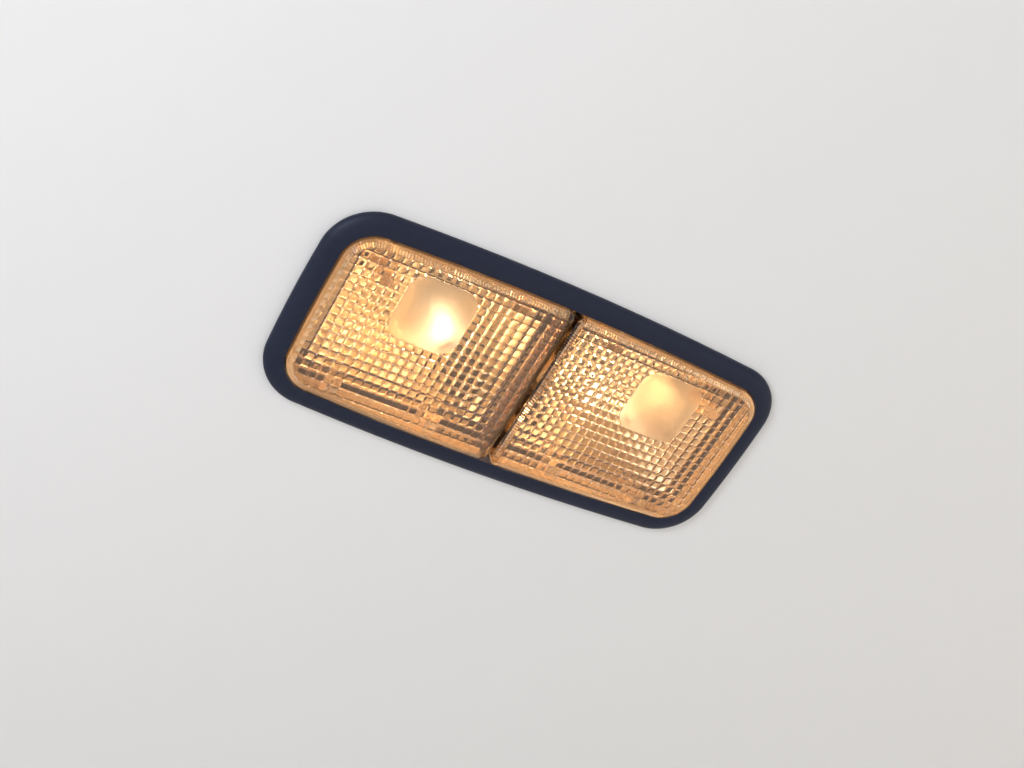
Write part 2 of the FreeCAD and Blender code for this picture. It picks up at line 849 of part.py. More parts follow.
def make_connector_shell():
    """Open shroud round the pins, with a latch step on its outside."""
    top = strip_top_z + connector_height
    body = block(0, connector_y, connector_length, connector_width, strip_top_z, top)
    body = body.makeFillet(connector_edge_radius, upright_edges(body))
    floor_z = strip_top_z + connector_wall
    cavity = block(
        0,
        connector_y,
        connector_length - 2 * connector_wall,
        connector_width - 2 * connector_wall,
        floor_z,
        top,
    )
    latch_y = connector_y - connector_width / 2 - connector_latch_depth / 2
    latch = block(
        0,
        latch_y,
        connector_latch_width,
        connector_latch_depth,
        top - 2 * connector_latch_height,
        top - connector_latch_height,
    )
    slots = pin_block(2 * pin_clearance, strip_top_z, floor_z)
    return body.cut([cavity] + slots).fuse(latch)


def make_pins():
    return pin_block(0, strip_top_z, strip_top_z + pin_rise)


def write(name, shapes):
    solids = [solid for shape in shapes for solid in shape.Solids]
    shape = solids[0] if len(solids) == 1 else Part.makeCompound(solids)
    shape.exportStep(os.path.join("parts", name + ".step"))


def write_pair(name, shapes):
    write(name + "_right", shapes)
    write(name + "_left", [mirrored(shape) for shape in shapes])


def main():
    os.makedirs("parts", exist_ok=True)
    clip = make_clip()
    write("bezel", [make_bezel()])
    write("rear_case", [make_case()])
    write("case_screws", [make_screw(x, y) for x, y in lug_places()])
    write("spring_clips", [clip, mirrored(clip)])
    write("feed_strip", [make_feed_strip()])
    write("ground_strip", [make_ground_strip()])
    write("connector_shell", [make_connector_shell()])
    write("connector_pins", make_pins())
    write_pair("lens", [make_lens()])
    write_pair("reflector", [make_reflector()])
    write_pair("bulb_glass", [make_bulb_glass()])
    write_pair("filament", [make_filament()])
    write_pair("bulb_holder", [make_holder()])
    write_pair("socket_contacts", make_contacts())
    write_pair("switch_body", [make_switch_body()])
    write_pair("switch_plunger", [make_plunger()])
    write_pair("switch_spring", [make_spring()])
    write_pair("switched_strip", [make_switched_strip()])


main()
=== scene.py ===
"""Twin map light for a car roof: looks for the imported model, laid out as a Blender add-on."""

import math

import bmesh
import bpy
from mathutils import Matrix, Vector


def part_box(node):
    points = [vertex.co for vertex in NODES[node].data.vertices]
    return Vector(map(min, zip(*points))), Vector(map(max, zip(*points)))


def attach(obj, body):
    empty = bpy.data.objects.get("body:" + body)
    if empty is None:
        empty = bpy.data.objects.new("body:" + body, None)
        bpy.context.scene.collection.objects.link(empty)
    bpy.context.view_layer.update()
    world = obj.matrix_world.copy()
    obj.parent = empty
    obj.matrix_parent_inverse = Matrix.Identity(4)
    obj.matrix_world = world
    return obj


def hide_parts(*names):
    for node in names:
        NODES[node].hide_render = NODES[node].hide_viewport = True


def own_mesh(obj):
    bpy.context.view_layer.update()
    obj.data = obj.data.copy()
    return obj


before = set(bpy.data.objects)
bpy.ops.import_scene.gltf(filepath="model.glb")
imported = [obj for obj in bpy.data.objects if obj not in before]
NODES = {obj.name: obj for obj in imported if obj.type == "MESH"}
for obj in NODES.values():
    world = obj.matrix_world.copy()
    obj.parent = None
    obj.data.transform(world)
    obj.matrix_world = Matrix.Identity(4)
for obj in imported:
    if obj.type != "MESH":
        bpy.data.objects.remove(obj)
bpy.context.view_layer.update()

bl_info = {
    "name": "Twin Map Light",
    "version": (1, 0, 0),
    "blender": (4, 5, 0),
    "location": "View3D > Sidebar > Map Light",
    "description": "Dresses a twin map light with moulded press lenses, finishes, lamps and a stage",
    "category": "Object",
}

MM = 0.001
SIDES = ("left", "right")
# Material slots of a press lens
FIELD, PAD, RIM, SPLIT_EDGE = range(4)
# Points nearer than this are one point
MERGE = 0.001 * MM
# Steps of a round corner of the pad and of the backing panel
CORNER_STEPS = 8
LENS_LOW, LENS_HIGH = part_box("lens_right")
BEZEL_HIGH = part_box("bezel")[1]
FILAMENT_LOW, FILAMENT_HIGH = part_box("filament_right")


def linear(code):
    """Linear colour of an sRGB hex code."""
    shares = [int(code[i : i + 2], 16) / 255 for i in (1, 3, 5)]
    return tuple(s / 12.92 if s <= 0.04045 else ((s + 0.055) / 1.055) ** 2.4 for s in shares)


def length(name, description, default):
    """Length property, in metres."""
    return bpy.props.FloatProperty(
        name=name, description=description, default=default, unit="LENGTH", precision=5
    )


def angle(name, description, degrees):
    """Angle property, given in degrees."""
    return bpy.props.FloatProperty(
        name=name, description=description, default=math.radians(degrees), subtype="ANGLE"
    )


def colour(name, description, code):
    """Colour property, given as an sRGB hex code."""
    return bpy.props.FloatVectorProperty(
        name=name, description=description, default=linear(code), subtype="COLOR", size=3, min=0, max=1
    )


def power(name, description, watts):
    """Lamp power property, in watts."""
    return bpy.props.FloatProperty(
        name=name, description=description, default=watts, unit="POWER", precision=4
    )


class MapLightLens(bpy.types.PropertyGroup):
    """Sizes of the moulded pattern on the lens faces."""

    long_bow: length("Long side bow", "How far the long sides bulge", 2.3 * MM)
    short_bow: length("Short side bow", "How far the short sides bulge", 0.9 * MM)
    corner: length("Corner radius", "Radius of the outer corners", 8.8 * MM)
    split_corner: length("Split corner radius", "Radius of the corners beside the split", 2.4 * MM)
    pitch: length("Pillow pitch", "Width of one pillow of the optic", 2.5 * MM)
    depth: length("Pillow depth", "How far a pillow's corner lies under its top", 0.65 * MM)
    sink: length("Pillow sink", "How far the pillow tops lie under the rim face", 0.05 * MM)
    field_reach: length("Field reach", "How far behind the rim face the field's finish goes", 2.6 * MM)
    border: length("Border width", "Plain border between the outline and the pillows", 1.95 * MM)
    quads: bpy.props.IntProperty(
        name="Pillow quads", description="Faces along one side of a pillow", default=8, min=2, max=8
    )
    pad_cells: bpy.props.IntProperty(
        name="Pad cells", description="Pillows that the smooth pad replaces, along one side", default=8
    )
    pad_x: length("Pad place X", "Middle of the smooth pad, from the middle of the light", 36.5 * MM)
    pad_y: length("Pad place Y", "Middle of the smooth pad, across the light", -10.5 * MM)
    pad_corner: length("Pad corner radius", "Radius of the pad's corners", 5.0 * MM)
    flute_pitch: length("Flute pitch", "Spacing of the fine flutes round the rim", 0.85 * MM)
    flute_depth: length("Flute depth", "Depth of the fine flutes round the rim", 0.36 * MM)
    rim_width: length("Rim width", "Width of the sloped rim", 1.6 * MM)
    rim_rise: length("Rim rise", "Height of the sloped rim", 1.3 * MM)


class MapLightColours(bpy.types.PropertyGroup):
    """Colours of the finishes."""

    bezel: colour("Bezel", "Dark blue-grey moulded trim", "#1a2033")
    case: colour("Case", "Black moulded case", "#232426")
    reflector: colour("Reflector", "Metallised bowl behind a lens", "#cbb99c")
    holder: colour("Holder", "Moulded bulb holder", "#3a3733")
    brass: colour("Brass", "Stamped current strips and contacts", "#c6a25a")
    switch: colour("Switch", "Moulded switch case", "#2b2e33")
    plunger: colour("Plunger", "Natural acetal plunger", "#e6e1d3")
    steel: colour("Spring steel", "Clips and springs", "#a9abad")
    zinc: colour("Zinc plate", "Plated screws", "#c3c6c8")
    connector: colour("Connector", "Natural nylon connector shroud", "#d8d2c1")
    tungsten: colour("Tungsten", "Filament and lead wires", "#5a5650")
    glow: colour("Lamp light", "Colour of the filament's light", "#ffdfb4")
    floor: colour("Stage", "Pale floor and backing panel", "#ebe9e5")


class MapLightStage(bpy.types.PropertyGroup):
    """Camera and lamps."""

    azimuth: angle("Camera azimuth", "Turn of the camera about the light", -45.8)
    elevation: angle("Camera elevation", "Height angle of the camera, below the roof", -55.14)
    roll: angle("Camera roll", "Turn of the picture about the view line", -18.7)
    distance: length("Camera distance", "From the light's origin to the camera", 384.3 * MM)
    aside: length("Framing", "How far beside the origin the camera aims", 4.68 * MM)
    focal: bpy.props.FloatProperty(
        name="Focal length", description="For a sensor 36 mm wide", default=48.8, unit="CAMERA"
    )
    bulb_power: power("Bulb power", "Light of one bulb", 0.034)
    bulb_radius: length("Bulb light radius", "Radius of the ball that a bulb's light comes from", 2.8 * MM)
    bulb_shift: length("Bulb light shift", "From the filament to its light, towards the hinges", 3.8 * MM)
    key_power: power("Key lamp power", "Soft lamp below the roof, on the left", 3.4)
    fill_power: power("Fill lamp power", "Soft lamp below the roof, on the right", 0.4)
    top_power: power("Top lamp power", "Soft lamp above the roof", 4.0)


# Small helpers
def add_node(tree, kind, inputs=None, **settings):
    """Adds a node with its settings; an input is a value or a socket to link."""
    made = tree.nodes.new(kind)
    for name, value in settings.items():
        setattr(made, name, value)
    for name, value in (inputs or {}).items():
        if isinstance(value, bpy.types.NodeSocket):
            tree.links.new(value, made.inputs[name])
        else:
            made.inputs[name].default_value = value
    return made


def nodes_of(material):
    """Node tree of a material, and its Principled shader."""
    return material.node_tree, material.node_tree.nodes["Principled BSDF"]


def new_material(name, **sockets):
    """A material with one Principled shader whose sockets are set by name."""
    material = bpy.data.materials.new(name)
    material.use_nodes = True
    shader = nodes_of(material)[1]
    for socket, value in sockets.items():
        shader.inputs[socket.replace("_", " ")].default_value = value
    return material


def opaque(colour_value):
    """A colour with full alpha."""
    return (*colour_value, 1.0)


def per_metre(size_mm):
    """Noise scale whose blotches are about this many millimetres wide."""
    return 1.0 / (size_mm * MM)


def new_object(name, data):
    """Links a mesh, lamp or camera to the scene."""
    made = bpy.data.objects.new(name, data)
    bpy.context.scene.collection.objects.link(made)
    return made


def object_from(bm, name):
    """Makes an object of a bmesh, and frees the bmesh."""
    mesh = bpy.data.meshes.new(name)
    bm.to_mesh(mesh)
    bm.free()
    return new_object(name, mesh)


def carve(target, tool, operation):
    """Joins or cuts target with tool, and removes tool."""
    step = target.modifiers.new(operation.title(), "BOOLEAN")
    step.operation = operation
    step.solver = "EXACT"
    step.object = tool
    bpy.context.view_layer.update()
    graph = bpy.context.evaluated_depsgraph_get()
    mesh = bpy.data.meshes.new_from_object(target.evaluated_get(graph))
    target.modifiers.clear()
    target.data = mesh
    bpy.data.objects.remove(tool)


def dress(node_names, material):
    """Gives CAD nodes a finish."""
    for name in node_names:
        for slot in NODES[name].material_slots:
            slot.material = material


def both(stem):
    """Names of the left and right nodes."""
    return [f"{stem}_{side}" for side in SIDES]


# Outline of the right lens, as arcs
def arc_points(centre, radius, start, stop, count):
    """Points along an arc, without its end point."""
    steps = [start + (stop - start) * i / count for i in range(count)]
    return [(centre[0] + radius * math.cos(t), centre[1] + radius * math.sin(t)) for t in steps]


def bow_radius(chord, bow):
    """Radius of a side that bulges by bow over its chord."""
    return (chord * chord / 4 + bow * bow) / (2 * bow)


def direction(start, end):
    """Turn of the line from start to end."""
    return math.atan2(end[1] - start[1], end[0] - start[0])


def even_count(distance, spacing):
    """Even number of steps, so that the flutes meet all round."""
    return max(2, 2 * round(distance / spacing / 2))


def lens_outline(lens, offset, spacing, square_split=False):
    """Closed loop of points round the right lens, drawn out or in by offset."""
    half_x, half_y = LENS_HIGH.x, LENS_HIGH.y
    split_x = LENS_LOW.x
    long_r = bow_radius(2 * half_x, lens.long_bow)
    short_r = bow_radius(2 * half_y, lens.short_bow)
    long_c = (0.0, half_y - long_r)
    short_c = (half_x - short_r, 0.0)
    corner = circle_crossing(long_c, long_r - lens.corner, short_c, short_r - lens.corner)
    side_turn = direction(short_c, corner)
    long_turn = direction(long_c, corner)
    bend_r = 0.0 if square_split else lens.split_corner
    reach = long_r - bend_r + (offset if square_split else 0.0)
    bend_x = split_x - offset if square_split else split_x + bend_r
    bend = (bend_x, long_c[1] + math.sqrt(reach**2 - bend_x**2))
    join_turn = direction(long_c, bend)
    upper = arc_points(short_c, short_r + offset, 0.0, side_turn, even_count(half_y, spacing))
    corner_steps = even_count(lens.corner * (long_turn - side_turn), spacing)
    upper += arc_points(corner, lens.corner + offset, side_turn, long_turn, corner_steps)
    long_steps = even_count(long_r * (join_turn - long_turn), spacing)
    upper += arc_points(long_c, long_r + offset, long_turn, join_turn, long_steps)
    if not square_split:
        bend_steps = even_count(bend_r * math.pi / 2, spacing)
        upper += arc_points(bend, bend_r + offset, join_turn, math.pi, bend_steps)
    run_steps = even_count(bend[1], spacing)
    upper += [(split_x - offset, bend[1] * (1 - i / run_steps)) for i in range(run_steps + 1)]
    return upper + [(x, -y) for x, y in reversed(upper[1:-1])]


def circle_crossing(first, first_r, second, second_r):
    """The crossing of two circles that lies furthest along X."""
    a, b = Vector(first), Vector(second)
    span = (b - a).length
    along = (first_r**2 - second_r**2 + span**2) / (2 * span)
    across = math.sqrt(first_r**2 - along**2)
    unit = (b - a) / span
    normal = Vector((-unit.y, unit.x))
    crossings = [a + unit * along + normal * across * s for s in (-1, 1)]
    return max(crossings, key=lambda point: point.x)


def rounded_rectangle(middle, half_x, half_y, radius, with_ends):
    """Closed loop of points round a rectangle with round corners, with or without the arcs' end points."""
    points = []
    for quarter, (side_x, side_y) in enumerate(((1, 1), (-1, 1), (-1, -1), (1, -1))):
        centre_x = middle[0] + side_x * (half_x - radius)
        centre_y = middle[1] + side_y * (half_y - radius)
        start = quarter * math.pi / 2
        stop = start + math.pi / 2
        points += arc_points((centre_x, centre_y), radius, start, stop, CORNER_STEPS)
        if with_ends:
            points.append((centre_x + radius * math.cos(stop), centre_y + radius * math.sin(stop)))
    return points


def add_loop(bm, points, z):
    """Closed level loop of edges through the points."""
    corners = [bm.verts.new((x, y, z)) for x, y in points]
    return [bm.edges.new((corners[i - 1], corners[i])) for i in range(len(corners))]


def skin(bm, rings):
    """Draws a wall through closed rings of points, each with as many points as the first."""
    corners = [bm.verts.new(point) for point in rings[0]]
    edges = [bm.edges.new((corners[i - 1], corners[i])) for i in range(len(corners))]
    for before, after in zip(rings, rings[1:]):
        made = bmesh.ops.extrude_edge_only(bm, edges=edges)["geom"]
        moved = {v for v in made if isinstance(v, bmesh.types.BMVert)}
        edges = [e for e in made if isinstance(e, bmesh.types.BMEdge) and moved.issuperset(e.verts)]
        places = {Vector(point).to_tuple(7): Vector(target) for point, target in zip(before, after)}
        for v in moved:
            v.co = places[v.co.to_tuple(7)]


def prism(name, points, low, high):
    """Closed prism over an outline."""
    bm = bmesh.new()
    base = bm.faces.new([bm.verts.new((x, y, low)) for x, y in points])
    raised = bmesh.ops.extrude_face_region(bm, geom=[base], use_keep_orig=True)
    top = [v for v in raised["geom"] if isinstance(v, bmesh.types.BMVert)]
    bmesh.ops.translate(bm, verts=top, vec=(0, 0, high - low))
    bmesh.ops.recalc_face_normals(bm, faces=bm.faces)
    return object_from(bm, name)


# Press lenses
def pillow_tool(lens, face_z, depth_below):
    """Block whose upper side is the negative of the pillow field."""
    first_x = lens.pad_x - lens.pad_cells * lens.pitch / 2
    first_y = lens.pad_y - lens.pad_cells * lens.pitch / 2
    left = first_x - lens.pitch * math.ceil((first_x - LENS_LOW.x) / lens.pitch)
    low = first_y - lens.pitch * math.ceil((first_y + LENS_HIGH.y) / lens.pitch)
    columns = math.ceil((LENS_HIGH.x - left) / lens.pitch)
    rows = math.ceil((LENS_HIGH.y - low) / lens.pitch)
    half_grid = 0.5
    rounding = 1e-6
    bm = bmesh.new()
    bmesh.ops.create_grid(
        bm, x_segments=columns * lens.quads, y_segments=rows * lens.quads, size=half_grid
    )
    for v in bm.verts:
        across = (v.co.x + half_grid) * columns
        along = (v.co.y + half_grid) * rows
        u = 2 * (across - math.floor(across + rounding)) - 1
        w = 2 * (along - math.floor(along + rounding)) - 1
        # Fourth powers keep a pillow's top nearly flat and its sides steep
        sag = lens.sink + lens.depth * (u**4 + w**4) / 2
        v.co = (left + across * lens.pitch, low + along * lens.pitch, face_z + sag)
    edge = [e for e in bm.edges if e.is_boundary]
    skirt = bmesh.ops.extrude_edge_only(bm, edges=edge)["geom"]
    for v in skirt:
        if isinstance(v, bmesh.types.BMVert):
            v.co.z = face_z - depth_below
    bmesh.ops.holes_fill(bm, edges=[e for e in bm.edges if e.is_boundary], sides=0)
    bmesh.ops.recalc_face_normals(bm, faces=bm.faces)
    return object_from(bm, "pillow_tool")


def field_block(lens, low, high):
    """The pillow field without the smooth pad, as a block."""
    spacing = 1.0 * MM
    inset = 0.03 * MM
    half_pad = lens.pad_cells * lens.pitch / 2 - inset
    block = prism("field", lens_outline(lens, -lens.border, spacing, True), low, high)
    middle = (lens.pad_x, lens.pad_y)
    pad = rounded_rectangle(middle, half_pad, half_pad, lens.pad_corner - inset, True)
    carve(block, prism("pad", pad, low - MM, high + MM), "DIFFERENCE")
    return block


def flute_tool(lens, face_z):
    """Ring with a saw-tooth inner side, which cuts fine flutes across the lens rim."""
    spacing = lens.flute_pitch / 2
    proud = 0.03 * MM
    clear = 1.0 * MM
    run_in = 0.25 * MM
    run_out = 0.15 * MM
    slope = math.atan2(lens.rim_rise, lens.rim_width)
    sections = (
        (-lens.rim_width - run_in, face_z, 0.0),
        (-lens.rim_width, face_z, slope / 2),
        (run_out, face_z + lens.rim_rise * (1 + run_out / lens.rim_width), slope),
    )
    rings = []
    for offset, z, lean in sections:
        points = lens_outline(lens, offset, spacing)
        inward = lens_outline(lens, offset - lens.flute_depth, spacing)
        ring = []
        for i, ((x, y), (ix, iy)) in enumerate(zip(points, inward)):
            tooth = lens.flute_depth if i % 2 else -proud
            share = math.sin(lean) * tooth / lens.flute_depth
            ring.append((x + (ix - x) * share, y + (iy - y) * share, z + math.cos(lean) * tooth))
        rings.append(ring)
    outside = face_z - clear
    far = lens_outline(lens, clear, spacing)
    near = lens_outline(lens, sections[0][0], spacing)
    rings.append([(x, y, sections[-1][1]) for x, y in far])
    rings.append([(x, y, outside) for x, y in far])
    rings.append([(x, y, outside) for x, y in near])
    bm = bmesh.new()
    skin(bm, rings + rings[:1])
    bmesh.ops.remove_doubles(bm, verts=bm.verts, dist=MERGE)
    bmesh.ops.recalc_face_normals(bm, faces=bm.faces)
    return object_from(bm, "flute_tool")


def mark_sharp(bm, limit_degrees):
    """Shades a mesh smooth, with a crease where faces turn by more than the limit."""
    limit = math.radians(limit_degrees)
    for face in bm.faces:
        face.smooth = True
    for edge in bm.edges:
        edge.smooth = edge.is_manifold and edge.calc_face_angle(0.0) < limit


def moulded_lens(lens):
    """The right lens: the CAD moulding with its grooves filled, true pillows cut and a fluted rim."""
    face_z = LENS_LOW.z
    fill_low = face_z + 0.01 * MM
    fill_high = face_z + 0.9 * MM
    tool_depth = 1.0 * MM
    field_low = face_z - 2 * MM
    field_high = face_z + 3 * MM
    bm = bmesh.new()
    bm.from_mesh(NODES["lens_right"].data)
    bmesh.ops.remove_doubles(bm, verts=bm.verts, dist=MERGE)
    moulding = object_from(bm, "lens_moulding")
    carve(moulding, field_block(lens, fill_low, fill_high), "UNION")
    tool = pillow_tool(lens, face_z, tool_depth)
    carve(tool, field_block(lens, field_low, field_high), "INTERSECT")
    carve(moulding, tool, "DIFFERENCE")
    carve(moulding, flute_tool(lens, face_z), "DIFFERENCE")
    return moulding


def in_pad(lens, point):
    """Whether a point lies within the pad's rounded outline."""
    reach = lens.pad_cells * lens.pitch / 2 - lens.pad_corner
    beyond_x = max(abs(point.x - lens.pad_x) - reach, 0.0)
    beyond_y = max(abs(point.y - lens.pad_y) - reach, 0.0)
    return math.hypot(beyond_x, beyond_y) < lens.pad_corner


def inside_loop(points, x, y):
    """Whether a closed outline goes round a point."""
    inside = False
    for (ax, ay), (bx, by) in zip(points, points[1:] + points[:1]):
        if (ay > y) != (by > y) and x < ax + (bx - ax) * (y - ay) / (by - ay):
            inside = not inside
    return inside


def finish_lens(lens, source, name, mirrored):
    """One lens from the right moulding, with the field, pad, rim and split edge in slots of their own."""
    field_top = LENS_LOW.z + lens.field_reach
    pad_top = LENS_LOW.z + 0.5 * MM
    faces_out = -0.8
    spacing = 3 * MM
    crease_degrees = 28
    field = lens_outline(lens, -lens.border, spacing, True)
    bm = bmesh.new()
    bm.from_mesh(source)
    bmesh.ops.remove_doubles(bm, verts=bm.verts, dist=MERGE)
    bmesh.ops.dissolve_degenerate(bm, edges=bm.edges, dist=MERGE)
    for face in bm.faces:
        middle = face.calc_center_median()
        if in_pad(lens, middle) and middle.z < pad_top and face.normal.z < faces_out:
            face.material_index = PAD
        # The split edge gets a brown tint of its own: painted shade of the dark gap behind it
        elif middle.x < LENS_LOW.x + lens.border:
            face.material_index = SPLIT_EDGE
        elif middle.z < field_top and inside_loop(field, middle.x, middle.y):
            face.material_index = FIELD
        else:
            face.material_index = RIM
    if mirrored:
        bmesh.ops.scale(bm, verts=bm.verts, vec=(-1, 1, 1))
        bmesh.ops.reverse_faces(bm, faces=bm.faces)
    mark_sharp(bm, crease_degrees)
    return object_from(bm, name)


def moulded_polycarbonate(name, tint, roughness, glow, clearness=1.0):
    """Moulded polycarbonate: crisp or blurred refractions, and a painted warm glow, an emission that stands
    in for the bulb light caught in it.
    """
    return new_material(
        name,
        Base_Color=opaque(linear(tint)),
        Roughness=roughness,
        IOR=1.585,
        Transmission_Weight=clearness,
        # The emission is a painted glow: the lens shines by itself where the bulbs' light would be caught
        # in it
        Emission_Color=opaque(linear("#ffb46e")),
        Emission_Strength=glow,
    )


def lens_finishes():
    """Polished field with a faint painted glow, spark-eroded pad that blurs the bulb, rim tinted gold,
    partly clouded and given a painted glow for the light it pipes, and split edge tinted brown as painted
    shade.
    """
    return (
        # Field: a faint painted glow of the bulbs' light caught in the lens
        moulded_polycarbonate("clear polycarbonate", "#fff2e0", roughness=0.03, glow=0.04),
        moulded_polycarbonate("frosted polycarbonate", "#fff0dc", roughness=0.44, glow=0.0),
        # Rim: golden tint, less clearness and a painted glow, together standing in for the bulbs' light
        # piped round the rim
        moulded_polycarbonate("polycarbonate rim with painted glow", "#ecc998", roughness=0.05, glow=0.04, clearness=0.82),
        # Split edge: brown tint as painted shade of the dark gap behind it
        moulded_polycarbonate("polycarbonate split edge with painted shade", "#c29b74", roughness=0.05, glow=0.0),
    )


class MAPLIGHT_OT_lenses(bpy.types.Operator):
    """Moulds both press lenses with their pillows, pads and fluted rims"""

    bl_idname = "maplight.lenses"
    bl_label = "Press lenses"

    def execute(self, context):
        lens = context.scene.map_light_lens
        moulding = moulded_lens(lens)
        finishes = lens_finishes()
        for side in SIDES:
            piece = finish_lens(lens, moulding.data, f"press_lens_{side}", side == "left")
            for material in finishes:
                piece.data.materials.append(material)
            piece.visible_shadow = False
            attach(piece, f"{side}_lens")
            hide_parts(f"lens_{side}")
        bpy.data.objects.remove(moulding)
        return {"FINISHED"}


# Bezel and case
def grained_plastic(name, base, grain_mm, bump_mm, roughness, spread, specular=0.5):
    """Moulded plastic with a fine eroded grain: a soft sheen broken by small pits.

    The grain is drawn a few times coarser than the real one, so that it shows.
    """
    material = new_material(name, IOR=1.5, Specular_IOR_Level=specular)
    tree, shader = nodes_of(material)
    cloud_mm = 18.0
    darker, lighter = 0.88, 1.12
    place = add_node(tree, "ShaderNodeTexCoord")
    grain = add_node(
        tree,
        "ShaderNodeTexNoise",
        {"Vector": place.outputs["Object"], "Scale": per_metre(grain_mm), "Detail": 3.0},
    )
    clouds = add_node(
        tree,
        "ShaderNodeTexNoise",
        {"Vector": place.outputs["Object"], "Scale": per_metre(cloud_mm), "Detail": 2.0},
    )
    tone = add_node(
        tree,
        "ShaderNodeMix",
        {
            "Factor": clouds.outputs["Fac"],
            "A": opaque([c * darker for c in base]),
            "B": opaque([min(1.0, c * lighter) for c in base]),
        },
        data_type="RGBA",
    )
    sheen = add_node(
        tree,
        "ShaderNodeMapRange",
        {
            "Value": grain.outputs["Fac"],
            "From Min": 0.3,
            "From Max": 0.7,
            "To Min": roughness - spread,
            "To Max": roughness + spread,
        },
    )
    pits = add_node(
        tree,
        "ShaderNodeBump",
        {"Height": grain.outputs["Fac"], "Strength": 0.6, "Distance": bump_mm * MM},
    )
    tree.links.new(tone.outputs["Result"], shader.inputs["Base Color"])
    tree.links.new(sheen.outputs["Result"], shader.inputs["Roughness"])
    tree.links.new(pits.outputs["Normal"], shader.inputs["Normal"])
    return material


def metal(name, base, streak_mm, roughness, spread):
    """Rolled or drawn metal: a bright reflection drawn out by fine streaks along X.

    The streaks are drawn coarser than real ones, so that they show.
    """
    material = new_material(name, Metallic=1.0)
    tree, shader = nodes_of(material)
    stretch = 0.06
    darker, lighter = 0.82, 1.1
    place = add_node(tree, "ShaderNodeTexCoord")
    turn = add_node(
        tree,
        "ShaderNodeMapping",
        {"Vector": place.outputs["Object"], "Scale": (stretch, 1.0, 1.0)},
    )
    streaks = add_node(
        tree,
        "ShaderNodeTexNoise",
        {"Vector": turn.outputs["Vector"], "Scale": per_metre(streak_mm), "Detail": 4.0},
    )
    tone = add_node(
        tree,
        "ShaderNodeMix",
        {
            "Factor": streaks.outputs["Fac"],
            "A": opaque([c * darker for c in base]),
            "B": opaque([min(1.0, c * lighter) for c in base]),
        },
        data_type="RGBA",
    )
    sheen = add_node(
        tree,
        "ShaderNodeMapRange",
        {
            "Value": streaks.outputs["Fac"],
            "From Min": 0.3,
            "From Max": 0.7,
            "To Min": roughness - spread,
            "To Max": roughness + spread,
        },
    )
    tree.links.new(tone.outputs["Result"], shader.inputs["Base Color"])
    tree.links.new(sheen.outputs["Result"], shader.inputs["Roughness"])
    return material


def metallised_plastic(base):
    """Plastic with a vapour-coated metal film: a soft mirror with a slight orange peel."""
    material = new_material("metallised plastic", Base_Color=opaque(base), Metallic=1.0)
    tree, shader = nodes_of(material)
    peel_mm = 4.0
    place = add_node(tree, "ShaderNodeTexCoord")
    peel = add_node(
        tree,
        "ShaderNodeTexNoise",
        {"Vector": place.outputs["Object"], "Scale": per_metre(peel_mm), "Detail": 2.0},
    )
    haze = add_node(
        tree,
        "ShaderNodeMapRange",
        {"Value": peel.outputs["Fac"], "From Min": 0.3, "From Max": 0.7, "To Min": 0.26, "To Max": 0.36},
    )
    dents = add_node(
        tree,
        "ShaderNodeBump",
        {"Height": peel.outputs["Fac"], "Strength": 0.4, "Distance": 0.1 * MM},
    )
    tree.links.new(haze.outputs["Result"], shader.inputs["Roughness"])
    tree.links.new(dents.outputs["Normal"], shader.inputs["Normal"])
    return material


class MAPLIGHT_OT_bezel(bpy.types.Operator):
    """Finishes the bezel in dark grained ABS"""

    bl_idname = "maplight.bezel"
    bl_label = "Bezel"

    def execute(self, context):
        base = context.scene.map_light_colours.bezel
        abs_plastic = grained_plastic(
            "grained ABS", base, grain_mm=0.45, bump_mm=0.05, roughness=0.5, spread=0.08, specular=0.28
        )
        dress(["bezel"], abs_plastic)
        return {"FINISHED"}


class MAPLIGHT_OT_case(bpy.types.Operator):
    """Finishes the case in black polypropylene"""

    bl_idname = "maplight.case"
    bl_label = "Rear case"

    def execute(self, context):
        base = context.scene.map_light_colours.case
        polypropylene = grained_plastic(
            "black polypropylene", base, grain_mm=0.6, bump_mm=0.04, roughness=0.45, spread=0.08
        )
        dress(["rear_case"], polypropylene)
        return {"FINISHED"}


class MAPLIGHT_OT_reflectors(bpy.types.Operator):
    """Finishes the reflector bowls in metallised plastic"""

    bl_idname = "maplight.reflectors"
    bl_label = "Reflectors"

    def execute(self, context):
        base = context.scene.map_light_colours.reflector
        dress(both("reflector"), metallised_plastic(base))
        return {"FINISHED"}


# Bulbs
def bulb_glass():
    """Blown soda glass: thin, clear and glossy."""
    return new_material(
        "soda glass",
        Base_Color=opaque(linear("#fdfdfb")),
        Roughness=0.0,
        IOR=1.52,
        Transmission_Weight=1.0,
    )


def glowing_tungsten(base, glow):
    """White-hot tungsten wire."""
    return new_material(
        "glowing tungsten",
        Base_Color=opaque(base),
        Metallic=1.0,
        Roughness=0.4,
        Emission_Color=opaque(glow),
        Emission_Strength=40.0,
    )


class MAPLIGHT_OT_bulbs(bpy.types.Operator):
    """Finishes the bulbs, holders and contacts, and lights the filaments"""

    bl_idname = "maplight.bulbs"
    bl_label = "Bulbs and holders"

    def execute(self, context):
        colours = context.scene.map_light_colours
        dress(both("bulb_glass"), bulb_glass())
        for name in both("bulb_glass"):
            NODES[name].visible_shadow = False
        dress(both("filament"), glowing_tungsten(colours.tungsten, colours.glow))
        nylon = grained_plastic(
            "glass-filled nylon", colours.holder, grain_mm=0.5, bump_mm=0.05, roughness=0.5, spread=0.1
        )
        brass = metal("stamped brass", colours.brass, streak_mm=0.25, roughness=0.3, spread=0.08)
        dress(both("bulb_holder"), nylon)
        dress(both("socket_contacts"), brass)
        return {"FINISHED"}


